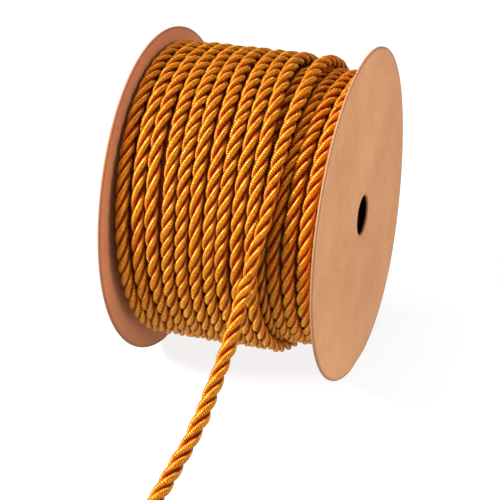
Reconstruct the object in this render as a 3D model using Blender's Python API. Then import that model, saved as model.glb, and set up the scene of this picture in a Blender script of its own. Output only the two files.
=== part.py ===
# A reel of twisted decorative cord. Two round board flanges stand on the surface, the cord
# is wound between them, and its loose end comes off the front and rests on the surface.
# The reel's axis runs along X, the photographed side faces -Y, and sizes are in millimetres.
import math

import bpy
from mathutils import Vector

for old in list(bpy.data.objects):
    bpy.data.objects.remove(old, do_unlink=True)

MM = 0.001

# Board flanges: round discs with a spindle hole, flattened a little where they stand.
FLANGE_RADIUS = 50.0
FLANGE_SEGMENTS = 90
BOARD_THICKNESS = 1.0
SPINDLE_RADIUS = 6.0
REEL_WIDTH = 63.5
REST_HALF_ANGLE = 8.0
AXIS_HEIGHT = FLANGE_RADIUS * math.cos(math.radians(REST_HALF_ANGLE))

# The board is flat out to its first ring and wavy beyond it. Each wave is how far the rim stands
# to the right, once, twice and three times round the disc, split into cosine and sine parts
# that are counted from the back towards the top.
FLAT_RADIUS = 22.0
FLANGE_RINGS = (SPINDLE_RADIUS, FLAT_RADIUS, 38.0, FLANGE_RADIUS)
RIGHT_WAVES = {
    "offset": 0.05,
    "cosine": (0.20, -0.26, -0.18),
    "sine": (0.40, -0.29, 0.0),
}
LEFT_WAVES = {
    "offset": -0.35,
    "cosine": (-0.30, -0.30, -0.20),
    "sine": (0.0, 0.15, 0.30),
}

# Wound cord
CORD_RADIUS = 2.05
OUTER_LAYER_RADIUS = 43.0
LOWER_LAYER_RADIUS = 39.5
WINDING_BORE_RADIUS = 25.0
WINDING_LEFT = -30.2
WINDING_RIGHT = 29.8
WINDING_COLUMNS = 68
WINDING_ROW_STEP = 6
GROOVE_DEPTH = 1.75

# Angles are counted round the axis from the top towards the front.
TURN_ANGLES = (0.0, 40.0, 80.0, 120.0)
CROSSOVER_END = 264.0

# Outer layer, left to right: where each turn lies at those angles.
OUTER_TURNS = (
    # top, upper, front, under
    (-28.1, -27.9, -27.1, -26.8),
    (-24.3, -23.9, -22.6, -22.5),
    (-20.5, -19.8, -18.4, -18.1),
    (-16.5, -15.4, -13.6, -14.0),
    (-12.5, -11.0, -9.3, -9.7),
    (-8.4, -6.8, -5.1, -5.4),
    (-4.2, -2.0, -0.9, -1.3),
    (0.4, 2.5, 3.1, 3.0),
    (4.7, 6.9, 7.3, 7.1),
    (9.5, 11.1, 11.2, 11.1),
)

# The layer below, bare to the right of the last wrap.
LOWER_TURNS = (
    # top, upper, front, under
    (12.0, 11.0, 9.5, 8.9),
    (15.9, 14.8, 13.3, 12.8),
    (19.7, 18.6, 17.3, 16.7),
    (23.6, 22.4, 21.4, 20.7),
    (27.3, 26.5, 25.5, 24.8),
)
LOWER_START = 27.6

# The last wrap climbs over its neighbour and then leaves the reel.
LAST_WRAP = (
    # angle, along, radius
    (0.0, 16.6, 43.0),
    (20.0, 16.8, 43.0),
    (40.0, 16.4, 43.0),
    (60.0, 15.9, 43.0),
    (70.0, 15.6, 43.3),
    (76.0, 15.2, 44.1),
    (82.0, 14.3, 45.8),
    (88.0, 13.1, 47.1),
)
LAST_WRAP_END = 88.0
LAST_WRAP_STEP = 0.8

# Where the outer layer climbs up from the one below, at the left flange.
LAYER_CLIMB = (232.0, 262.0)

# Loose end: three plies, twisted right-handed
LAY_LENGTH = 15.6
PLIES = 3
STATION_STEP = 1.3
LOBE = (
    # degrees from the ply's crown, radius
    (0.0, 2.05),
    (30.0, 1.73),
    (60.0, 1.15),
    (90.0, 1.73),
)
LOOSE_END_ROUTE = (
    # along, forward, height
    (12.75, 47.25, 48.9),
    (11.6, 48.7, 43.9),
    (11.0, 51.3, 40.0),
    (10.8, 54.8, 36.4),
    (10.6, 58.6, 33.1),
    (10.2, 64.2, 28.8),
    (9.8, 69.9, 24.7),
    (9.4, 75.6, 20.7),
    (8.6, 81.4, 16.7),
    (7.1, 87.1, 12.7),
    (6.1, 91.4, 9.9),
    (5.0, 96.7, 6.9),
    (4.2, 102.2, 4.5),
    (3.5, 108.0, 2.85),
    (2.7, 114.0, 2.2),
    (1.9, 120.0, 2.1),
    (0.9, 128.0, 2.1),
    (0.2, 136.0, 2.1),
)


def smooth_step(value):
    value = min(max(value, 0.0), 1.0)
    return value * value * (3.0 - 2.0 * value)


def interpolate(position, places, values):
    # A smooth curve through the values, so that turns bend and don't kink.
    if position <= places[0]:
        return values[0]
    if position >= places[-1]:
        return values[-1]
    index = max(i for i, place in enumerate(places) if place <= position)
    before = max(index - 1, 0)
    after = min(index + 2, len(places) - 1)
    width = places[index + 1] - places[index]
    start_slope = (values[index + 1] - values[before]) / (places[index + 1] - places[before])
    end_slope = (values[after] - values[index]) / (places[after] - places[index])
    part = (position - places[index]) / width
    cube = part ** 3
    square = part ** 2
    return (
        values[index] * (2 * cube - 3 * square + 1)
        + values[index + 1] * (3 * square - 2 * cube)
        + start_slope * width * (cube - 2 * square + part)
        + end_slope * width * (cube - square)
    )


def rim_shift(waves, turn):
    shift = waves["offset"]
    for count, (cosine, sine) in enumerate(zip(waves["cosine"], waves["sine"]), start=1):
        shift += cosine * math.cos(count * turn) + sine * math.sin(count * turn)
    return shift


def rim_turns():
    return [math.radians(270.0 + 360.0 * k / FLANGE_SEGMENTS) for k in range(FLANGE_SEGMENTS)]


# The reel is centred between the two rims' farthest points.
FARTHEST_RIGHT = REEL_WIDTH / 2 + max(rim_shift(RIGHT_WAVES, turn) for turn in rim_turns())
FARTHEST_LEFT = -REEL_WIDTH / 2 + min(rim_shift(LEFT_WAVES, turn) for turn in rim_turns())
REEL_SHIFT = -(FARTHEST_RIGHT + FARTHEST_LEFT) / 2


def reel_point(along, radius, angle):
    # Angle in degrees round the axis, from the top towards the front.
    turn = math.radians(angle)
    return Vector((
        (along + REEL_SHIFT) * MM,
        -radius * math.sin(turn) * MM,
        (AXIS_HEIGHT + radius * math.cos(turn)) * MM,
    ))


def new_object(name, points, faces, material, sharp_angle):
    mesh = bpy.data.meshes.new(name)
    mesh.from_pydata([tuple(point) for point in points], [], faces)
    mesh.validate()
    mesh.shade_smooth()
    mesh.set_sharp_from_angle(angle=math.radians(sharp_angle))
    mesh.materials.append(material)
    thing = bpy.data.objects.new(name, mesh)
    bpy.context.scene.collection.objects.link(thing)
    return thing


def new_material(name, colour, roughness):
    material = bpy.data.materials.new(name)
    material.use_nodes = True
    shader = material.node_tree.nodes["Principled BSDF"]
    shader.inputs["Base Color"].default_value = (*colour, 1.0)
    shader.inputs["Roughness"].default_value = roughness
    shader.inputs["Metallic"].default_value = 0.0
    return material


def add_flange(name, outer_face, inner_face, waves, material):
    # One closed disc: rings of points on both faces, joined at the rim and in the hole.
    turns = rim_turns()
    points = []
    for face in (outer_face, inner_face):
        for radius in FLANGE_RINGS:
            reach = max(radius - FLAT_RADIUS, 0.0) / (FLANGE_RADIUS - FLAT_RADIUS)
            for turn in turns:
                height = max(AXIS_HEIGHT + radius * math.sin(turn), 0.0)
                points.append(Vector((
                    (face + REEL_SHIFT + rim_shift(waves, turn) * reach ** 2) * MM,
                    radius * math.cos(turn) * MM,
                    height * MM,
                )))
    rings = len(FLANGE_RINGS)
    count = FLANGE_SEGMENTS

    def at(face, ring, step):
        return (face * rings + ring) * count + step % count

    faces = []
    for step in range(count):
        for ring in range(rings - 1):
            faces.append((at(0, ring, step), at(0, ring + 1, step), at(0, ring + 1, step + 1)))
            faces.append((at(0, ring, step), at(0, ring + 1, step + 1), at(0, ring, step + 1)))
            faces.append((at(1, ring, step), at(1, ring + 1, step + 1), at(1, ring + 1, step)))
            faces.append((at(1, ring, step), at(1, ring, step + 1), at(1, ring + 1, step + 1)))
        rim = rings - 1
        faces.append((at(0, rim, step), at(1, rim, step), at(1, rim, step + 1), at(0, rim, step + 1)))
        faces.append((at(0, 0, step), at(0, 0, step + 1), at(1, 0, step + 1), at(1, 0, step)))
    if outer_face < inner_face:
        faces = [face[::-1] for face in faces]
    return new_object(name, points, faces, material, 40.0)


def crossover(angle):
    # How far a turn has gone over towards the next one, on the side that is out of view.
    return smooth_step((angle - TURN_ANGLES[-1]) / (CROSSOVER_END - TURN_ANGLES[-1]))


def turn_places(turns, angle, last_top, step):
    # Where each turn lies at an angle. Past the last column it goes over to the top of its
    # neighbour: the one on its right (step 1) or on its left (step -1).
    places = []
    for index, row in enumerate(turns):
        place = interpolate(angle, TURN_ANGLES, row)
        neighbour = index + step
        top = turns[neighbour][0] if 0 <= neighbour < len(turns) else last_top
        places.append(place + (top - place) * crossover(angle))
    return places


def strands_at(angle):
    # Centres of the cord's turns at an angle, as (place along the axis, radius).
    strands = []
    last_top = LAST_WRAP[0][1]
    for place in turn_places(OUTER_TURNS, angle, last_top, 1):
        strands.append((place, OUTER_LAYER_RADIUS))
    lower_top = LOWER_TURNS[0][0] - 2 * CORD_RADIUS
    for place in turn_places(LOWER_TURNS, angle, lower_top, -1):
        strands.append((place, LOWER_LAYER_RADIUS))
    if angle > TURN_ANGLES[-1]:
        # The next lower turn comes up beside the right flange.
        rise = crossover(angle)
        place = LOWER_START + (LOWER_TURNS[-1][0] - LOWER_START) * rise
        strands.append((place, LOWER_LAYER_RADIUS - CORD_RADIUS * (1.0 - rise)))
    if angle > LAYER_CLIMB[0]:
        # The outer layer's first turn climbs up beside the left flange.
        rise = smooth_step((angle - LAYER_CLIMB[0]) / (LAYER_CLIMB[1] - LAYER_CLIMB[0]))
        radius = LOWER_LAYER_RADIUS + (OUTER_LAYER_RADIUS - LOWER_LAYER_RADIUS) * rise
        strands.append((OUTER_TURNS[0][0], radius))
    if angle <= LAST_WRAP_END:
        angles = [row[0] for row in LAST_WRAP]
        along = interpolate(angle, angles, [row[1] for row in LAST_WRAP])
        radius = interpolate(angle, angles, [row[2] for row in LAST_WRAP])
        strands.append((along, radius))
    return sorted(strands)


def surface_radius(place, strands):
    # The outermost cord at this place, or the groove between two turns.
    covered = [along for along, radius in strands if radius >= OUTER_LAYER_RADIUS]
    lowest = LOWER_LAYER_RADIUS if place > covered[-1] else OUTER_LAYER_RADIUS
    if len(covered) > len(OUTER_TURNS) and covered[-2] < place <= covered[-1]:
        lowest = LOWER_LAYER_RADIUS
    highest = lowest + CORD_RADIUS - GROOVE_DEPTH
    for along, radius in strands:
        offset = abs(place - along)
        if offset < CORD_RADIUS:
            highest = max(highest, radius + math.sqrt(CORD_RADIUS ** 2 - offset ** 2))
    return highest


def column_places(strands):
    # Evenly spaced columns, with the nearest one moved onto each crown and each groove.
    width = WINDING_RIGHT - WINDING_LEFT
    spacing = width / WINDING_COLUMNS
    columns = [WINDING_LEFT + spacing * k for k in range(WINDING_COLUMNS + 1)]
    crowns = []
    for along, radius in strands:
        if surface_radius(along, strands) < radius + CORD_RADIUS + 0.02:
            crowns.append(along)
    features = list(crowns)
    samples = 24
    for left, right in zip(crowns, crowns[1:]):
        between = [left + (right - left) * k / samples for k in range(1, samples)]
        middle = (left + right) / 2
        features.append(min(between, key=lambda x: (round(surface_radius(x, strands), 2), abs(x - middle))))
    taken = set()
    for feature in features:
        column = round((feature - WINDING_LEFT) / spacing)
        if 0 < column < WINDING_COLUMNS and column not in taken:
            columns[column] = feature
            taken.add(column)
    return columns


def add_winding(name, material):
    # One closed ring: ridged outside by the turns, with a round bore through it.
    angles = [float(angle) for angle in range(0, 360, WINDING_ROW_STEP)]
    nearest = min(angles, key=lambda angle: abs(angle - LAST_WRAP_END - LAST_WRAP_STEP))
    angles[angles.index(nearest)] = LAST_WRAP_END + LAST_WRAP_STEP
    angles = sorted(angles + [LAST_WRAP_END])
    points = []
    radii = []
    for angle in angles:
        strands = strands_at(angle)
        row = []
        for column in column_places(strands):
            row.append(surface_radius(column, strands))
            points.append(reel_point(column, row[-1], angle))
        radii.append(row)
    wide = WINDING_COLUMNS + 1
    rows = len(angles)
    bore_left = len(points)
    points += [reel_point(WINDING_LEFT, WINDING_BORE_RADIUS, angle) for angle in angles]
    bore_right = len(points)
    points += [reel_point(WINDING_RIGHT, WINDING_BORE_RADIUS, angle) for angle in angles]
    faces = []
    for row in range(rows):
        following = (row + 1) % rows
        for column in range(WINDING_COLUMNS):
            near_left = row * wide + column
            near_right = near_left + 1
            far_left = following * wide + column
            far_right = far_left + 1
            rising = abs(radii[row][column] - radii[following][column + 1])
            falling = abs(radii[row][column + 1] - radii[following][column])
            # Each cell folds along the direction in which the ridge runs.
            if rising <= falling:
                faces.append((near_left, far_left, far_right))
                faces.append((near_left, far_right, near_right))
            else:
                faces.append((near_left, far_left, near_right))
                faces.append((near_right, far_left, far_right))
        left = row * wide
        next_left = following * wide
        right = left + WINDING_COLUMNS
        next_right = next_left + WINDING_COLUMNS
        faces.append((left, bore_left + row, bore_left + following, next_left))
        faces.append((right, next_right, bore_right + following, bore_right + row))
        faces.append((bore_left + row, bore_right + row, bore_right + following, bore_left + following))
    return new_object(name, points, faces, material, 75.0)


def route_stations(route, step):
    # Evenly spaced points on one smooth curve through the route's rows.
    rows = [Vector((along + REEL_SHIFT, -forward, height)) for along, forward, height in route]
    lengths = [0.0]
    for start, end in zip(rows, rows[1:]):
        lengths.append(lengths[-1] + (end - start).length)
    count = round(lengths[-1] / step)
    stations = []
    for k in range(count + 1):
        position = lengths[-1] * k / count
        stations.append(Vector([
            interpolate(position, lengths, [row[axis] for row in rows]) for axis in range(3)
        ]))
    return stations


def add_loose_end(name, material):
    # A three-lobed section that turns as it goes along, flat at both cut ends.
    stations = route_stations(LOOSE_END_ROUTE, STATION_STEP)
    side = Vector((1.0, 0.0, 0.0))
    travelled = 0.0
    points = []
    per_ply = len(LOBE)
    around = PLIES * per_ply
    for index, station in enumerate(stations):
        before = stations[max(index - 1, 0)]
        after = stations[min(index + 1, len(stations) - 1)]
        forward = (after - before).normalized()
        side = (side - forward * side.dot(forward)).normalized()
        up = forward.cross(side)
        if index:
            travelled += (station - stations[index - 1]).length
        twist = 2 * math.pi * travelled / LAY_LENGTH
        for ply in range(PLIES):
            for degrees, radius in LOBE:
                turn = twist + 2 * math.pi * ply / PLIES + math.radians(degrees)
                point = station + side * (radius * math.cos(turn)) + up * (radius * math.sin(turn))
                points.append(point * MM)
    faces = []
    for index in range(len(stations) - 1):
        for step in range(around):
            here = index * around + step
            beside = index * around + (step + 1) % around
            faces.append((here, beside, beside + around))
            faces.append((here, beside + around, here + around))
    last = (len(stations) - 1) * around
    points += [stations[0] * MM, stations[-1] * MM]
    start_middle = len(points) - 2
    end_middle = len(points) - 1
    for step in range(around):
        faces.append((start_middle, (step + 1) % around, step))
        faces.append((end_middle, last + step, last + (step + 1) % around))
    return new_object(name, points, faces, material, 50.0)


cord_gold = new_material("cord_gold", (0.60, 0.24, 0.012), 0.42)
loose_gold = new_material("loose_gold", (0.60, 0.24, 0.012), 0.42)
board_left = new_material("board_left", (0.47, 0.22, 0.10), 0.85)
board_right = new_material("board_right", (0.58, 0.31, 0.15), 0.85)

half_width = REEL_WIDTH / 2
add_flange("flange_left", -half_width, -half_width + BOARD_THICKNESS, LEFT_WAVES, board_left)
add_flange("flange_right", half_width, half_width - BOARD_THICKNESS, RIGHT_WAVES, board_right)
add_winding("winding", cord_gold)
add_loose_end("loose_end", loose_gold)
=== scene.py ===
# A reel of twisted gold cord: every turn that shows is wound as real three-ply cord between
# two round card flanges, and the loose end comes off the front and rests on the surface.
# The reel's axis runs along X and the photographed side faces -Y. Sizes here are in millimetres.
import math

import bpy
import numpy as np
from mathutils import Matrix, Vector


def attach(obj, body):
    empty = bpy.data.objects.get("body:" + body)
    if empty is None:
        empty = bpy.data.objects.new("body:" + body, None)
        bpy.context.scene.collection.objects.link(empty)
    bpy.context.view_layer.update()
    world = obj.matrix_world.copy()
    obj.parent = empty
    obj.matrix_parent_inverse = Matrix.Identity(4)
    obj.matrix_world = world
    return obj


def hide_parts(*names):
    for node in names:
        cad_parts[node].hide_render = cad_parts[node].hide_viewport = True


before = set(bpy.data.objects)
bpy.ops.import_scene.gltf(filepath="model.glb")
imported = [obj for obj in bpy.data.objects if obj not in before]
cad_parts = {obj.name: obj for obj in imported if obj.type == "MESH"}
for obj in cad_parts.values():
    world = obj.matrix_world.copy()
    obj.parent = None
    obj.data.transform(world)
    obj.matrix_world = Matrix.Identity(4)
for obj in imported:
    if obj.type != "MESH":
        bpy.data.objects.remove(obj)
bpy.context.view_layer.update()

mm = 0.001


# Small helpers for curves

def smoothCurve(places, knots, values):
    # a smooth line through the values, level beyond the first and the last
    knots = np.asarray(knots, float)
    values = np.asarray(values, float)
    places = np.clip(np.asarray(places, float), knots[0], knots[-1])
    index = np.clip(np.searchsorted(knots, places, side="right") - 1, 0, len(knots) - 2)
    before = np.maximum(index - 1, 0)
    after = np.minimum(index + 2, len(knots) - 1)
    width = knots[index + 1] - knots[index]
    startSlope = (values[index + 1] - values[before]) / (knots[index + 1] - knots[before])
    endSlope = (values[after] - values[index]) / (knots[after] - knots[index])
    part = (places - knots[index]) / width
    cube = part ** 3
    square = part ** 2
    return (
        values[index] * (2 * cube - 3 * square + 1)
        + values[index + 1] * (3 * square - 2 * cube)
        + startSlope * width * (cube - 2 * square + part)
        + endSlope * width * (cube - square)
    )


def unit(vectors):
    return vectors / np.linalg.norm(vectors, axis=-1, keepdims=True)


def lengthAlong(points):
    steps = np.linalg.norm(np.diff(points, axis=0), axis=1)
    return np.concatenate(([0.0], np.cumsum(steps)))


# The reel's own frame

reel = {
    "flangeRadius": 50.0,
    "boardThickness": 0.7,
    "spareThickness": 0.3,  # the solid's board is this much thicker
    "spindleRadius": 6.0,
    "width": 63.5,
    "flatRadius": 22.0,  # the board is flat this far out, and wavy beyond
    "restHalfAngle": 8.0,  # half of the small flat that the flanges stand on, in degrees
    "countedTurns": 90,
    "windingLift": 1.0,  # the winding sits a little off the flanges' middle
    # how far each rim stands to the right: once, twice and three times round
    "rightWaves": {"offset": 0.05, "cosine": (0.20, -0.26, -0.18), "sine": (0.40, -0.29, 0.0)},
    "leftWaves": {"offset": -0.35, "cosine": (-0.30, -0.30, -0.20), "sine": (0.0, 0.15, 0.30)},
}


def rimShift(waves, turn):
    shift = np.full_like(turn, waves["offset"])
    for count, (cosine, sine) in enumerate(zip(waves["cosine"], waves["sine"]), start=1):
        shift += cosine * np.cos(count * turn) + sine * np.sin(count * turn)
    return shift


axisHeight = reel["flangeRadius"] * math.cos(math.radians(reel["restHalfAngle"]))
countedRim = np.radians(270 + np.arange(reel["countedTurns"]) * 360 / reel["countedTurns"])
farRight = rimShift(reel["rightWaves"], countedRim).max()
farLeft = rimShift(reel["leftWaves"], countedRim).min()
reelShift = -(farRight + farLeft) / 2


def reelPoints(along, radius, angle):
    # angle in degrees round the axis, from the top towards the front
    turn = np.radians(angle)
    return np.column_stack((
        along + reelShift + 0 * turn,
        -radius * np.sin(turn),
        axisHeight + reel["windingLift"] + radius * np.cos(turn),
    ))


# Camera, at the photograph's angle

view = {
    "lens": 101.6,
    "place": (0.12828, -0.37399, 0.21790),
    "azimuth": 19.41,
    "elevation": 25.05,
}

cameraData = bpy.data.cameras.new("camera")
cameraData.lens = view["lens"]
camera = bpy.data.objects.new("camera", cameraData)
camera.location = view["place"]
camera.rotation_euler = (math.radians(90 - view["elevation"]), 0, math.radians(view["azimuth"]))
bpy.context.scene.collection.objects.link(camera)
bpy.context.scene.camera = camera
bpy.context.scene.view_settings.view_transform = "Standard"  # golds keep their colour


# Shader helpers

class Wire:
    # one output socket, so that shader maths can be written as an expression
    def __init__(self, finish, socket):
        self.finish = finish
        self.socket = socket

    def __add__(self, other):
        return self.finish.maths("ADD", self, other)

    def __radd__(self, other):
        return self.finish.maths("ADD", other, self)

    def __sub__(self, other):
        return self.finish.maths("SUBTRACT", self, other)

    def __rsub__(self, other):
        return self.finish.maths("SUBTRACT", other, self)

    def __mul__(self, other):
        return self.finish.maths("MULTIPLY", self, other)

    def __rmul__(self, other):
        return self.finish.maths("MULTIPLY", other, self)

    def __pow__(self, other):
        return self.finish.maths("POWER", self, other)


class Finish:
    def __init__(self, name):
        self.material = bpy.data.materials.new(name)
        self.material.use_nodes = True
        self.nodes = self.material.node_tree.nodes
        self.surface = self.nodes["Principled BSDF"].inputs

    def node(self, kind, settings, sockets, output=0):
        # any node: its settings first, then the values or links of its sockets
        made = self.nodes.new(kind)
        for name, value in settings.items():
            setattr(made, name, value)
        for name, value in sockets.items():
            self.feed(made.inputs[name], value)
        return Wire(self, made.outputs[output])

    def feed(self, socket, value):
        if isinstance(value, Wire):
            self.material.node_tree.links.new(value.socket, socket)
        else:
            socket.default_value = value

    def maths(self, operation, first, second=0.0):
        return self.node("ShaderNodeMath", {"operation": operation}, {0: first, 1: second})

    def blend(self, share, first, second, way="MIX"):
        # two colours, mixed by a share from 0 to 1
        first, second = ((*c, 1.0) if isinstance(c, tuple) else c for c in (first, second))
        return self.node(
            "ShaderNodeMix", {"data_type": "RGBA", "blend_type": way}, {0: share, 6: first, 7: second}, 2
        )

    def ramp(self, share, low, high):
        # 0 below low, 1 above high
        return self.node("ShaderNodeMapRange", {"clamp": True}, {0: share, 1: low, 2: high})

    def noise(self, place, scale, detail=2.0, roughness=0.5, output=0):
        sockets = {"Vector": place, "Scale": scale, "Detail": detail, "Roughness": roughness}
        return self.node("ShaderNodeTexNoise", {}, sockets, output)

    def stretched(self, place, x, y, z):
        return self.node("ShaderNodeVectorMath", {"operation": "MULTIPLY"}, {0: place, 1: (x, y, z)})


# Cord finish: satin threads wound round each ply

cordFinish = {
    # painted shade: the gold darkens and reddens from a ply's crown (crown) down its sides (side) into the
    # grooves (deep)
    "crown": (0.54, 0.182, 0.004),
    "side": (0.52, 0.118, 0.002),
    "deep": (0.32, 0.014, 0.0002),
    "paintedHighlight": (0.86, 0.42, 0.06),  # painted highlight: a pale line along one shoulder of each ply, where light catches it
    "shade": (0.50, 0.34, 0.20),  # what the gold is multiplied by: painted shade between threads, and random tone from fibres and patches
    "paintedHighlightBand": (0.12, 0.155, 0.175, 0.21),  # where the painted highlight lies, as a share of the way round
    "threadPitch": 0.53,  # mm along a ply
    "threadStarts": 3,  # threads wound side by side
    "threadHeight": 0.13,
    "fibreScale": (6.0, 2.2, 1.0),  # round and along a ply
    "patchScale": (1.5, 0.35, 1.0),
    # how much each makes the gold lighter or darker: the ribs paint shade between threads, the others are
    # tone that differs at random
    "evenLight": 0.36,
    "ribLight": 0.50,
    "threadLight": 0.20,
    "fibreLight": 0.30,
    "patchLight": 0.24,
    "roughness": 0.27,
    "threadRoughness": 0.14,
    "gapRoughness": 0.10,
    "grooveRoughness": 0.5,
    "metal": 0.50,
    "specular": 0.35,
    "gloss": (1.0, 0.86, 0.48),
    "sheenWeight": 0.8,
    "sheenRoughness": 0.25,
    "sheen": (1.0, 0.62, 0.05),
}


def cordMaterial(name, given):
    made = Finish(name)
    threadMap = made.node("ShaderNodeUVMap", {"uv_map": "threadMap"}, {})
    around = made.node("ShaderNodeSeparateXYZ", {}, {0: threadMap})
    along = Wire(made, around.socket.node.outputs[1])
    depth = made.node("ShaderNodeAttribute", {"attribute_name": "depth"}, {}, "Fac")
    thread = along * (1 / given["threadPitch"]) + around * given["threadStarts"]
    within = made.maths("FRACT", thread)
    rib = 1 - (2 * within - 1) ** 2.0
    tone = made.node(
        "ShaderNodeTexWhiteNoise", {"noise_dimensions": "1D"}, {"W": made.maths("FLOOR", thread)}, "Value"
    )
    fibres = made.noise(made.stretched(threadMap, *given["fibreScale"]), 1.0, 3.0, 0.6)
    patches = made.noise(made.stretched(threadMap, *given["patchScale"]), 1.0, 2.0)
    # painted shade in the grooves: the deeper a point lies between the plies, the darker and redder its gold
    gold = made.blend(made.ramp(depth, 0.6, 1.0), given["side"], given["crown"])
    gold = made.blend(made.ramp(depth, 0.15, 0.78), given["deep"], gold)
    # painted shade between the threads, with random tone from threads, fibres and patches
    light = given["evenLight"] + given["ribLight"] * rib + given["threadLight"] * (tone - 0.5)
    light = light + given["fibreLight"] * (fibres - 0.5) + given["patchLight"] * (patches - 0.5)
    gold = made.blend(made.ramp(light, 0.25, 0.95), made.blend(1.0, gold, given["shade"], "MULTIPLY"), gold)
    # painted highlight: the gold is made paler along one shoulder of each ply, where light catches it
    band = given["paintedHighlightBand"]
    paintedHighlight = made.ramp(around, *band[:2]) * (1 - made.ramp(around, *band[2:]))
    gold = made.blend(paintedHighlight * (0.35 + 0.6 * fibres), gold, given["paintedHighlight"])
    made.feed(made.surface["Base Color"], gold)
    rough = given["roughness"] + given["threadRoughness"] * (tone - 0.5) + given["gapRoughness"] * (1 - rib)
    rough = rough + given["grooveRoughness"] * (1 - made.ramp(depth, 0.1, 0.7))
    made.feed(made.surface["Roughness"], rough)
    made.surface["Metallic"].default_value = given["metal"]
    made.surface["Specular IOR Level"].default_value = given["specular"]
    made.surface["Specular Tint"].default_value = (*given["gloss"], 1.0)
    made.surface["Sheen Weight"].default_value = given["sheenWeight"]
    made.surface["Sheen Roughness"].default_value = given["sheenRoughness"]
    made.surface["Sheen Tint"].default_value = (*given["sheen"], 1.0)
    height = rib * 0.8 + fibres * 0.4
    bump = made.node(
        "ShaderNodeBump", {}, {"Strength": 1.0, "Distance": given["threadHeight"] * mm, "Height": height}
    )
    made.feed(made.surface["Normal"], bump)
    return made.material


# Plies as mesh

twist = {
    "plies": 3,
    "plyOffset": 1.06,  # from the cord's middle to the middle of a ply
    # a ply is pressed by its neighbours: flat outside, with tight shoulders
    "plyRise": 0.88,  # half its thickness, away from the cord's middle
    "plyHalfWidth": 0.88,
    "squareness": 2.3,
    # places round a ply's own section, in degrees from its outermost line: close on the outside
    "section": (0, 16, 32, 48, 64, 80, 100, 135, 180, 225, 260, 280, 296, 312, 328, 344),
    "step": 0.7,
    "plyGirth": 5.6,
    # unevenness: how much, and the lengths over which it comes and goes
    "drift": 0.22,  # how far the twist runs ahead or behind, in radians
    "driftLengths": (31.0, 47.0, 83.0),
    "stray": 0.11,  # and how far one ply does
    "strayLengths": (17.0, 29.0, 43.0),
    "swell": 0.05,
    "swellLengths": (5.0, 11.0, 19.0, 37.0),
    "riseLengths": (13.0, 23.0),
    "woundSize": 0.995,
    "looseSize": 1.13,  # the free cord is fuller than the cord pulled onto the reel
    "looseSteps": 12,  # stations over which it fills out
    "grooveRadius": 1.0,  # where the painted shade in the grooves between plies is darkest
}


def newPiece(name, points, quads, material, caps=()):
    # points in millimetres; quads as an array of corners
    mesh = bpy.data.meshes.new(name)
    faces = np.asarray(quads, np.int32)
    mesh.vertices.add(len(points))
    mesh.vertices.foreach_set("co", (np.asarray(points) * mm).astype(np.float32).ravel())
    starts = np.arange(len(faces)) * 4
    corners = faces.ravel()
    totals = np.full(len(faces), 4)
    for cap in caps:
        starts = np.append(starts, len(corners))
        totals = np.append(totals, len(cap))
        corners = np.append(corners, cap)
    mesh.loops.add(len(corners))
    mesh.loops.foreach_set("vertex_index", corners.astype(np.int32))
    mesh.polygons.add(len(starts))
    mesh.polygons.foreach_set("loop_start", starts.astype(np.int32))
    mesh.polygons.foreach_set("loop_total", totals.astype(np.int32))
    mesh.update(calc_edges=True)
    mesh.validate()
    mesh.shade_smooth()
    mesh.materials.append(material)
    piece = bpy.data.objects.new(name, mesh)
    bpy.context.scene.collection.objects.link(piece)
    return piece


def unevenness(places, lengths, seed):
    # a slow random line between about -1 and 1
    random = np.random.default_rng(seed)
    total = sum(np.sin(places * 2 * math.pi / length + random.uniform(0, 2 * math.pi)) for length in lengths)
    return total / math.sqrt(len(lengths))


def twistPlies(stations, sides, phases, sizes, seed):
    # three plies round the stations: their surfaces, how deep each point lies and how long they are
    section = np.radians(twist["section"])
    power = 2 / twist["squareness"]
    rise = np.sign(np.cos(section)) * np.abs(np.cos(section)) ** power * twist["plyRise"]
    width = np.sign(np.sin(section)) * np.abs(np.sin(section)) ** power * twist["plyHalfWidth"]
    tangents = unit(np.gradient(stations, axis=0))
    sides = unit(sides - tangents * np.sum(sides * tangents, axis=1, keepdims=True))
    ups = np.cross(tangents, sides)
    travelled = lengthAlong(stations)
    outermost = twist["plyOffset"] + twist["plyRise"]
    plies = []
    phases = phases + twist["drift"] * unevenness(travelled, twist["driftLengths"], seed)
    for ply in range(twist["plies"]):
        stray = twist["stray"] * unevenness(travelled, twist["strayLengths"], seed + 10 + ply)
        turn = (phases + stray + 2 * math.pi * ply / twist["plies"])[:, None]
        outward = sides * np.cos(turn) + ups * np.sin(turn)
        swell = sizes * (1 + twist["swell"] * unevenness(travelled, twist["swellLengths"], seed + 20 + ply))
        rising = 1 + twist["swell"] * unevenness(travelled, twist["riseLengths"], seed + 30 + ply)
        middle = stations + (twist["plyOffset"] * sizes * rising)[:, None] * outward
        forward = unit(np.gradient(middle, axis=0))
        outward = unit(outward - forward * np.sum(outward * forward, axis=1, keepdims=True))
        across = np.cross(forward, outward)
        tube = middle[:, None, :] + swell[:, None, None] * (
            outward[:, None, :] * rise[None, :, None] + across[:, None, :] * width[None, :, None]
        )
        fromMiddle = np.linalg.norm(tube - stations[:, None, :], axis=2)
        fromMiddle /= sizes[:, None]
        depth = np.clip((fromMiddle - twist["grooveRadius"]) / (outermost - twist["grooveRadius"]), 0, 1)
        plies.append((tube, depth, lengthAlong(middle)))
    return plies


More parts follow.
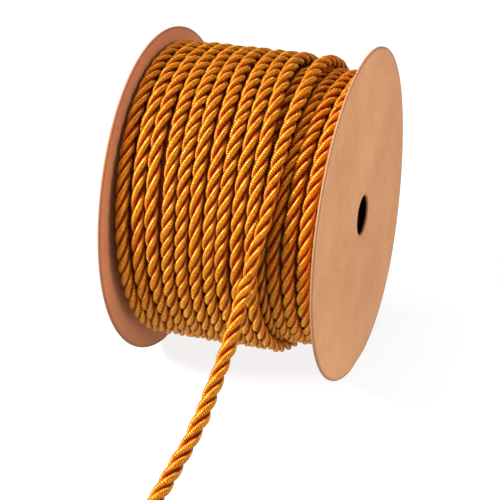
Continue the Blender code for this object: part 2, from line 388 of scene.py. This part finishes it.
def flatRows(plyCount, steps, around):
    # the plies unrolled into rows that fill a square, and their cut ends in a row of their own
    total = plyCount * steps
    rows = round(math.sqrt(total * twist["step"] / twist["plyGirth"]))
    perRow = math.ceil(total / rows)
    rows = math.ceil(total / perRow) + 1
    index = np.arange(total)[:, None]
    margin = 0.03  # of a row, left bare at both sides
    inRow = margin + (1 - 2 * margin) * around[None, :]
    low = (index // perRow + inRow[:, :-1]) / rows
    high = (index // perRow + inRow[:, 1:]) / rows
    near = np.broadcast_to(index % perRow / perRow, low.shape)
    far = near + 1 / perRow
    sides = np.stack((near, low, far, low, far, high, near, high), axis=-1).reshape(-1, 2)
    turn = 2 * math.pi * around[:-1]
    ends = []
    for end in range(2 * plyCount):
        spin = 1 if end % 2 == 0 else -1
        ends.append(np.column_stack((
            (end + 0.5 + 0.3 * np.cos(spin * turn)) / perRow,
            (rows - 0.5 + 0.3 * np.sin(spin * turn)) / rows,
        )))
    return np.concatenate([sides] + ends)


def addCord(name, plies, start, end, material):
    # one stretch of the cord, each ply a closed tube with its thread map
    around = np.append(np.radians(twist["section"]), 2 * math.pi) / (2 * math.pi)
    ring = len(around) - 1
    count = end - start + 1
    points, depths, quads, caps, places = [], [], [], [], []
    for ply, (tube, depth, travelled) in enumerate(plies):
        points.append(tube[start:end + 1].reshape(-1, 3))
        depths.append(depth[start:end + 1].ravel())
        at = (ply * count + np.arange(count))[:, None] * ring + np.arange(ring)[None, :]
        beside = np.roll(at, -1, axis=1)
        quads.append(np.stack((at[:-1], at[1:], beside[1:], beside[:-1]), axis=-1).reshape(-1, 4))
        caps += [at[0], at[-1][::-1]]
        shape = (count - 1, ring)
        lowU, highU = np.broadcast_to(around[:-1], shape), np.broadcast_to(around[1:], shape)
        length = travelled[start:end + 1, None]
        lowV, highV = np.broadcast_to(length[:-1], shape), np.broadcast_to(length[1:], shape)
        places.append(np.stack((lowU, lowV, lowU, highV, highU, highV, highU, lowV), axis=-1).reshape(-1, 2))
    piece = newPiece(name, np.concatenate(points), np.concatenate(quads), material, caps)
    mesh = piece.data
    places = np.concatenate(places)
    places = np.concatenate((places, np.zeros((len(mesh.loops) - len(places), 2))))
    threadMap = mesh.uv_layers.new(name="threadMap")
    threadMap.data.foreach_set("uv", places.astype(np.float32).ravel())
    bakeMap = mesh.uv_layers.new(name="OFBake")
    bakeMap.data.foreach_set("uv", flatRows(len(plies), count - 1, around).astype(np.float32).ravel())
    depth = mesh.attributes.new("depth", "FLOAT", "POINT")
    depth.data.foreach_set("value", np.concatenate(depths).astype(np.float32))
    return piece


# Where the cord runs

winding = {
    "turnAngles": (0.0, 40.0, 80.0, 120.0),
    "crossover": (192.0, 264.0, 312.0),  # halfway across, across, and level again, round the back
    "spacingAngles": (5.0, 45.0, 120.0, 230.0),
    # outer layer, left to right: where each turn lies at those angles, then how far apart its
    # plies stand at the top and at the front
    "outerTurns": (
        (-28.48, -28.25, -27.1, -26.42, 4.75, 5.08),
        (-24.23, -23.73, -22.15, -22.2, 6.08, 6.0),
        (-20.05, -19.93, -17.88, -17.73, 5.67, 5.62),
        (-15.83, -15.0, -12.92, -13.78, 4.92, 4.79),
        (-11.75, -10.48, -8.93, -9.47, 4.79, 4.54),
        (-7.8, -6.32, -4.72, -5.41, 5.92, 5.71),
        (-3.67, -1.76, -0.53, -1.23, 5.38, 5.04),
        (1.29, 2.88, 3.02, 3.07, 4.96, 4.96),
        (5.3, 7.13, 7.46, 7.47, 5.12, 5.5),
        (9.36, 11.27, 11.72, 11.55, 5.83, 5.4),
    ),
    # the layer below, wound from right to left
    "lowerTurns": (
        (28.34, 27.16, 26.02, 25.18, 4.5, 4.96),
        (24.64, 22.54, 21.7, 20.85, 4.46, 5.21),
        (20.74, 19.28, 17.22, 17.08, 4.12, 5.25),
        (16.95, 15.72, 13.08, 13.11, 5.2, 5.2),
        (12.0, 11.0, 9.5, 8.9, 5.2, 5.2),
    ),
    # how far each turn's twist runs ahead at those angles, in radians
    "leadAngles": (8.0, 32.0, 56.0, 80.0, 104.0),
    "outerLead": (
        (0.28, 0.40, -0.48, -0.16, 0.16),
        (-0.40, 0.14, 0.27, 0.41, 0.95),
        (-1.38, -0.87, -0.51, -1.01, -0.29),
        (-0.58, -0.09, 0.09, -0.18, 0.09),
        (0.42, 0.75, 0.63, 0.75, 0.63),
        (-1.13, -0.50, 0.00, 0.29, 0.96),
        (-1.34, -0.41, -0.89, -1.29, -0.80),
        (-0.78, 0.24, 0.66, 0.99, 1.39),
        (0.82, 1.04, 0.23, 0.59, 0.44),
        (0.28, 0.31, 0.23, 0.98, 1.36),
        (0.08, 0.08, 1.42, 1.42, 1.42),
    ),
    "lowerLead": (
        (-0.27, 0.25, 0.86, 1.15, 1.52),
        (-1.46, -0.94, -0.31, 0.31, 0.39),
        (-0.00, -0.00, 0.31, 0.24, 0.31),
        (-0.78, 0.31, 1.42, 2.25, 2.72),
    ),
    "lowerEnd": 7.9,
    # how each layer starts and climbs: angle and radius
    "outerClimb": ((-300.0, 37.5), (-240.0, 39.6), (-128.0, 39.6), (-98.0, 43.3), (0.0, 43.3)),
    "lowerClimb": ((-300.0, 36.0), (-240.0, 37.55), (-96.0, 39.7), (0.0, 39.7)),
    "outerStart": (-300.0, -100.0, -48.0),
    "lowerStart": ((-300.0, 27.6), (-240.0, 27.6), (-96.0, 27.3), (-48.0, 27.3)),
    "lowerPhase": 1.0,
    "wobbleLengths": (23.0, 37.0, 61.0, 97.0),  # in degrees round the reel
    "angleStep": 0.4,
    "splitTurns": (3, 7),  # where the outer layer is parted into pieces
    "splitAngle": 190.0,
    # the last wrap climbs over its neighbour and then leaves the reel: angle, along, radius
    "lastWrap": (
        (0.0, 17.0, 43.3),
        (20.0, 17.2, 43.3),
        (40.0, 16.7, 43.3),
        (60.0, 16.1, 43.3),
        (70.0, 15.6, 43.5),
        (76.0, 15.1, 44.2),
        (82.0, 14.3, 45.8),
        (86.0, 13.5, 46.7),
    ),
    "hiddenSpacing": 5.2,
}

looseEnd = {
    "diameter": 4.1,
    # along, forward, height
    "route": (
        (12.75, 47.25, 48.9),
        (11.6, 48.7, 43.9),
        (11.2, 51.3, 40.0),
        (11.15, 54.8, 36.4),
        (11.05, 58.6, 33.1),
        (10.7, 64.2, 28.8),
        (10.3, 69.9, 24.7),
        (9.9, 75.6, 20.7),
        (9.1, 81.4, 16.7),
        (7.6, 87.1, 12.7),
        (6.5, 91.4, 9.9),
        (5.3, 96.7, 6.9),
        (4.2, 102.2, 4.5),
        (3.5, 108.0, 2.95),
        (2.7, 114.0, 2.35),
        (1.9, 120.0, 2.25),
        (0.9, 128.0, 2.25),
        (0.2, 136.0, 2.25),
    ),
}


def woundKnots(turns, endAlong, firstTurn):
    # angle and place of every knot, and angle and ply spacing, for turns wound one after another
    angles, places, spacingAngles, spacings = [], [], [], []
    for index, row in enumerate(turns):
        base = 360.0 * (firstTurn + index)
        following = turns[index + 1][0] if index + 1 < len(turns) else endAlong
        angles += [base + angle for angle in winding["turnAngles"]]
        places += row[:4]
        angles += [base + angle for angle in winding["crossover"]]
        places += [(row[3] + following) / 2, following, following]
        spacingAngles += [base + angle for angle in winding["spacingAngles"]]
        spacings += [row[4], row[5], row[5], winding["hiddenSpacing"]]
    return angles, places, spacingAngles, spacings


def strandStations(angles, along, radius, tail=None):
    # evenly spaced stations, the direction away from the axis at each, and its angle
    points = reelPoints(along, radius, angles)
    if tail is not None:
        points = np.concatenate((points, tail))
        angles = np.concatenate((angles, angles[-1] + 0.01 * np.arange(1, len(tail) + 1)))
    lengths = lengthAlong(points)
    count = int(round(lengths[-1] / twist["step"]))
    even = np.linspace(0, lengths[-1], count + 1)
    stations = np.column_stack([np.interp(even, lengths, points[:, axis]) for axis in range(3)])
    stationAngles = np.interp(even, lengths, angles)
    turn = np.radians(stationAngles)
    sides = np.column_stack((0 * turn, -np.sin(turn), np.cos(turn)))
    return stations, sides, stationAngles


def wobble(angles, size, seed):
    # small unevenness of hand-guided winding
    random = np.random.default_rng(seed)
    total = np.zeros_like(angles)
    for length in winding["wobbleLengths"]:
        total += np.sin(angles * 2 * math.pi / length + random.uniform(0, 2 * math.pi))
    return total * size / 2


def twistPhases(stations, spacing, start):
    steps = np.diff(lengthAlong(stations))
    lay = twist["plies"] * spacing
    return start + np.concatenate(([0.0], np.cumsum(2 * math.pi * steps / ((lay[1:] + lay[:-1]) / 2))))


def addedLead(stationAngles, rows):
    knots = [360.0 * turn + angle for turn in range(len(rows)) for angle in winding["leadAngles"]]
    return smoothCurve(stationAngles, knots, [value for row in rows for value in row])


cordGold = cordMaterial("cordGold", cordFinish)

# the outer layer and the loose end are one length of cord
turns = winding["outerTurns"]
lastTurn = 360.0 * len(turns)
lastWrap = [(lastTurn + angle, place, radius) for angle, place, radius in winding["lastWrap"]]
angles, places, spacingAngles, spacings = woundKnots(turns, winding["lastWrap"][0][1], 0)
angles = list(winding["outerStart"]) + angles + [row[0] for row in lastWrap]
places = [turns[0][0]] * len(winding["outerStart"]) + places + [row[1] for row in lastWrap]
spacingAngles += [lastTurn + angle for angle in winding["spacingAngles"][:2]]
spacings += [5.0, 5.2]
climb = list(winding["outerClimb"])
climb += [(lastTurn - 60, climb[-1][1])] + [(angle, radius) for angle, place, radius in lastWrap]
fine = np.arange(angles[0], angles[-1], winding["angleStep"])
along = smoothCurve(fine, angles, places)
radius = smoothCurve(fine, *zip(*climb))
fade = np.clip((lastTurn + 60 - fine) / 30, 0, 1)
along += wobble(fine, 0.10, 3) * fade
radius += wobble(fine, 0.08, 4) * fade

route = np.array(looseEnd["route"]) * (1, -1, 1) + (reelShift, 0, 0)
lead = reelPoints(along[-31::10], radius[-31::10], fine[-31::10])
rows = np.concatenate((lead, route))
rowLengths = lengthAlong(rows)
between = np.arange(rowLengths[len(lead) - 1], rowLengths[-1] + 0.1, 0.2)[1:]
between[-1] = rowLengths[-1]
tail = np.column_stack([smoothCurve(between, rowLengths, rows[:, axis]) for axis in range(3)])
stations, sides, stationAngles = strandStations(fine, along, radius, tail)
spacing = smoothCurve(stationAngles, spacingAngles, spacings)
phases = twistPhases(stations, spacing, 0.0) + addedLead(stationAngles, winding["outerLead"])

# past the reel the cord's sides are carried along without turning
tangents = unit(np.gradient(stations, axis=0))
leaves = int(np.searchsorted(stationAngles, fine[-1] - 4))
for index in range(leaves, len(stations)):
    side = sides[index - 1]
    sides[index] = unit(side - tangents[index] * np.dot(side, tangents[index]))

splits = [0]
for turn in winding["splitTurns"]:
    splits.append(int(np.searchsorted(stationAngles, 360.0 * turn + winding["splitAngle"])))
toLoose = np.linalg.norm(stations - route[0], axis=1)
splits += [int(np.argmin(toLoose)), len(stations) - 1]
loosened = np.clip((np.arange(len(stations)) - splits[3]) / twist["looseSteps"], 0, 1)
sizes = twist["woundSize"] + (twist["looseSize"] - twist["woundSize"]) * loosened
plies = twistPlies(stations, sides, phases, sizes, 40)
names = ("turnsLeft", "turnsMiddle", "turnsRight", "looseCord")
for name, start, end in zip(names, splits, splits[1:]):
    piece = addCord(name, plies, start, end, cordGold)
    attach(piece, "root")
    if name == "looseCord":
        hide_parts("loose_end")
    else:
        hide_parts("winding")
print("outer layer wound,", len(stations), "stations")

# the layer below, bare on the right
turns = winding["lowerTurns"]
startAngles, startPlaces = zip(*winding["lowerStart"])
angles, places, spacingAngles, spacings = woundKnots(turns, winding["lowerEnd"], 0)
angles = list(startAngles) + angles
places = list(startPlaces) + places
fine = np.arange(angles[0], 360.0 * len(turns) - 60, winding["angleStep"])
along = smoothCurve(fine, angles, places) + wobble(fine, 0.10, 5)
radius = smoothCurve(fine, *zip(*winding["lowerClimb"])) + wobble(fine, 0.06, 6)
stations, sides, stationAngles = strandStations(fine, along, radius)
phases = twistPhases(stations, smoothCurve(stationAngles, spacingAngles, spacings), winding["lowerPhase"])
phases += addedLead(stationAngles, winding["lowerLead"])
sizes = np.full(len(stations), twist["woundSize"])
plies = twistPlies(stations, sides, phases, sizes, 90)
lower = addCord("turnsBelow", plies, 0, len(stations) - 1, cordGold)
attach(lower, "root")
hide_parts("winding")
print("layer below wound,", len(stations), "stations")


# What lies under the turns

underWinding = {
    "ends": (-30.2, 29.8),
    "bore": 25.0,
    # place along the reel and radius
    "outline": ((-30.2, 40.3), (4.0, 40.3), (7.5, 36.9), (29.8, 36.9)),
    "segments": 120,
    # painted shade: the cord under the turns is a dark copy of the gold, both its dark and its lit streaks,
    # as it lies in shade
    "dark": (0.20, 0.016, 0.001),
    "lit": (0.42, 0.055, 0.002),
}


def addRevolved(name, profile, segments, material):
    # a closed ring from a closed outline of (along, radius)
    angles = np.arange(segments) * 360.0 / segments
    count = len(profile)
    points = np.concatenate([reelPoints(place, radius, angles) for place, radius in profile])
    at = np.arange(count)[:, None] * segments + np.arange(segments)[None, :]
    nextRow = np.roll(at, -1, axis=0)
    quads = np.stack((at, nextRow, np.roll(nextRow, -1, axis=1), np.roll(at, -1, axis=1)), axis=-1)
    return newPiece(name, points, quads.reshape(-1, 4), material)


def underMaterial():
    made = Finish("cordShade")
    place = made.node("ShaderNodeTexCoord", {}, {}, "Object")
    ribs = made.noise(made.stretched(place, 1.0, 0.25, 0.25), 900.0, 3.0)
    # painted shade: dark gold streaked with a paler shade of it
    made.feed(made.surface["Base Color"], made.blend(ribs, underWinding["dark"], underWinding["lit"]))
    made.surface["Roughness"].default_value = 0.8
    made.feed(made.surface["Normal"], made.node("ShaderNodeBump", {}, {"Distance": 0.0003, "Height": ribs}))
    return made.material


left, right = underWinding["ends"]
outline = list(underWinding["outline"])
outline += [(right, underWinding["bore"]), (left, underWinding["bore"])]
under = addRevolved("windingUnder", outline, underWinding["segments"], underMaterial())
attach(under, "root")
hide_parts("winding")


# Card flanges

board = {
    "segments": 240,
    "edgeRounding": 0.25,
    "rings": (10.0, 14.0, 18.0, 22.0, 25.0, 28.0, 31.0, 34.0, 37.0, 40.0, 43.0, 46.0, 48.5),
    "right": (0.545, 0.258, 0.112),
    # painted shade and painted reflection: the left board is the same card, coloured darker and redder, as
    # its inner face lies in shade and takes orange light off the cord
    "left": (0.49, 0.186, 0.080),
    # the colour's shares in stains, in pale fibres, in dark fibres and near the rim and the hole
    "stain": (0.84, 0.76, 0.68),
    "pale": (1.10, 1.16, 1.24),
    "dark": 0.6,
    "cut": 0.42,
    "rimBand": (0.0490, 0.0498),  # in metres from the axis
    "holeBand": (0.0061, 0.0068),
}


def boardMaterial(name, colour):
    made = Finish(name)
    place = made.node("ShaderNodeTexCoord", {}, {}, "Object")
    cloud = made.noise(place, 38.0, 4.0, 0.6)
    smudge = made.noise(made.stretched(place, 1.0, 1.0, 0.45), 95.0, 3.0, 0.6)
    fromAxis = made.node(
        "ShaderNodeVectorMath", {"operation": "SUBTRACT"}, {0: place, 1: (0.0, 0.0, axisHeight * mm)}
    )
    across = made.stretched(fromAxis, 0.0, 1.0, 1.0)
    outward = made.node("ShaderNodeVectorMath", {"operation": "LENGTH"}, {0: across}, 1)
    rim = made.ramp(outward, *board["rimBand"])
    hole = 1 - made.ramp(outward, *board["holeBand"])
    pulp = made.noise(place, 700.0, 4.0, 0.65)
    lengthwise = made.noise(made.stretched(place, 1.0, 0.12, 1.0), 1500.0, 2.0)
    upright = made.noise(made.stretched(place, 1.0, 1.0, 0.12), 1500.0, 2.0)
    pale = made.ramp(lengthwise, 0.62, 0.72)
    dark = made.ramp(upright, 0.64, 0.74)
    deeper = tuple(c * s for c, s in zip(colour, board["stain"]))
    lighter = tuple(min(c * s, 1.0) for c, s in zip(colour, board["pale"]))
    tone = made.blend(made.ramp(cloud, 0.36, 0.64), deeper, colour)
    tone = made.blend(made.ramp(smudge, 0.56, 0.70) * 0.5, tone, deeper)
    tone = made.blend(made.ramp(pulp, 0.35, 0.75) * 0.5, tone, lighter)
    tone = made.blend(pale * 0.35, tone, lighter)
    tone = made.blend(dark * 0.30, tone, tuple(c * board["dark"] for c in colour))
    # darker towards the rim and round the hole
    tone = made.blend(made.maths("MAXIMUM", rim, hole) * 0.8, tone, tuple(c * board["cut"] for c in colour))
    made.feed(made.surface["Base Color"], tone)
    made.feed(made.surface["Roughness"], 0.72 + 0.15 * pulp)
    made.surface["Specular IOR Level"].default_value = 0.3
    height = pulp * 0.6 + pale * 0.3 - dark * 0.2
    bump = made.node("ShaderNodeBump", {}, {"Strength": 0.5, "Distance": 0.00008, "Height": height})
    made.feed(made.surface["Normal"], bump)
    return made.material


def addBoard(name, outerFace, towardsInside, waves, material):
    # one closed disc from an outline of (radius, depth), round the rim and through the hole
    rounding = board["edgeRounding"]
    thickness = reel["boardThickness"]
    rim, hole = reel["flangeRadius"], reel["spindleRadius"]
    corner = ((1.0, 0.0), (0.35, 0.10), (0.0, 0.45))
    outer = [(hole + rounding * out, thickness * deep * 0.4) for out, deep in reversed(corner)]
    outer += [(ring, 0.0) for ring in board["rings"]]
    outer += [(rim - rounding * out, thickness * deep * 0.4) for out, deep in corner]
    outline = outer + [(radius, thickness - depth) for radius, depth in reversed(outer)]
    turns = 2 * math.pi * np.arange(board["segments"]) / board["segments"]
    shift = rimShift(waves, turns)
    points = []
    for radius, depth in outline:
        reach = max(radius - reel["flatRadius"], 0) / (rim - reel["flatRadius"])
        points.append(np.column_stack((
            outerFace + towardsInside * depth + reelShift + shift * reach ** 2,
            radius * np.cos(turns),
            np.maximum(axisHeight + radius * np.sin(turns), 0),
        )))
    segments = board["segments"]
    at = np.arange(len(outline))[:, None] * segments + np.arange(segments)[None, :]
    nextRow = np.roll(at, -1, axis=0)
    quads = np.stack((at, np.roll(at, -1, axis=1), np.roll(nextRow, -1, axis=1), nextRow), axis=-1)
    if towardsInside < 0:
        quads = quads[..., ::-1]
    return newPiece(name, np.concatenate(points), quads.reshape(-1, 4), material)


half = reel["width"] / 2
boards = (
    ("boardLeft", "flange_left", -half + reel["spareThickness"], 1, reel["leftWaves"], board["left"]),
    ("boardRight", "flange_right", half, -1, reel["rightWaves"], board["right"]),
)
for name, node, outerFace, towardsInside, waves, colour in boards:
    piece = addBoard(name, outerFace, towardsInside, waves, boardMaterial(name, colour))
    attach(piece, "root")
    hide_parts(node)
print("flanges made")


# Floor and studio light

studio = {
    "floorSize": 6.0,
    "floorColour": (0.12, 0.12, 0.12),
    "floorGlow": 0.85,
    "sky": 0.24,
    # name, place, size, power
    "lamps": (
        ("keyLamp", (-1.00, -0.58, 0.70), 0.36, 50.0),
        ("topLamp", (-0.15, 0.05, 1.20), 0.8, 12.0),
        ("fillLamp", (1.10, -0.30, 0.50), 0.6, 9.0),
        ("lowLamp", (-0.75, -1.00, 0.10), 0.4, 5.0),
    ),
}

mesh = bpy.data.meshes.new("floor")
reach = studio["floorSize"] / 2
corners = [(-reach, -reach, 0), (reach, -reach, 0), (reach, reach, 0), (-reach, reach, 0)]
mesh.from_pydata(corners, [], [(0, 1, 2, 3)])
floor = bpy.data.objects.new("floor", mesh)
bpy.context.scene.collection.objects.link(floor)
paper = Finish("paperFloor")
paper.surface["Base Color"].default_value = (*studio["floorColour"], 1.0)
paper.surface["Roughness"].default_value = 0.9
paper.surface["Emission Color"].default_value = (1.0, 1.0, 1.0, 1.0)
paper.surface["Emission Strength"].default_value = studio["floorGlow"]
mesh.materials.append(paper.material)

world = bpy.data.worlds.new("studio")
world.use_nodes = True
world.node_tree.nodes["Background"].inputs["Color"].default_value = (1.0, 1.0, 1.0, 1.0)
world.node_tree.nodes["Background"].inputs["Strength"].default_value = studio["sky"]
bpy.context.scene.world = world

for name, place, size, power in studio["lamps"]:
    light = bpy.data.lights.new(name, "AREA")
    light.shape = "DISK"
    light.size = size
    light.energy = power
    lamp = bpy.data.objects.new(name, light)
    lamp.location = place
    aim = Vector((0, 0, axisHeight * mm)) - Vector(place)
    lamp.rotation_euler = aim.to_track_quat("-Z", "Y").to_euler()
    bpy.context.scene.collection.objects.link(lamp)
print("stage lit")
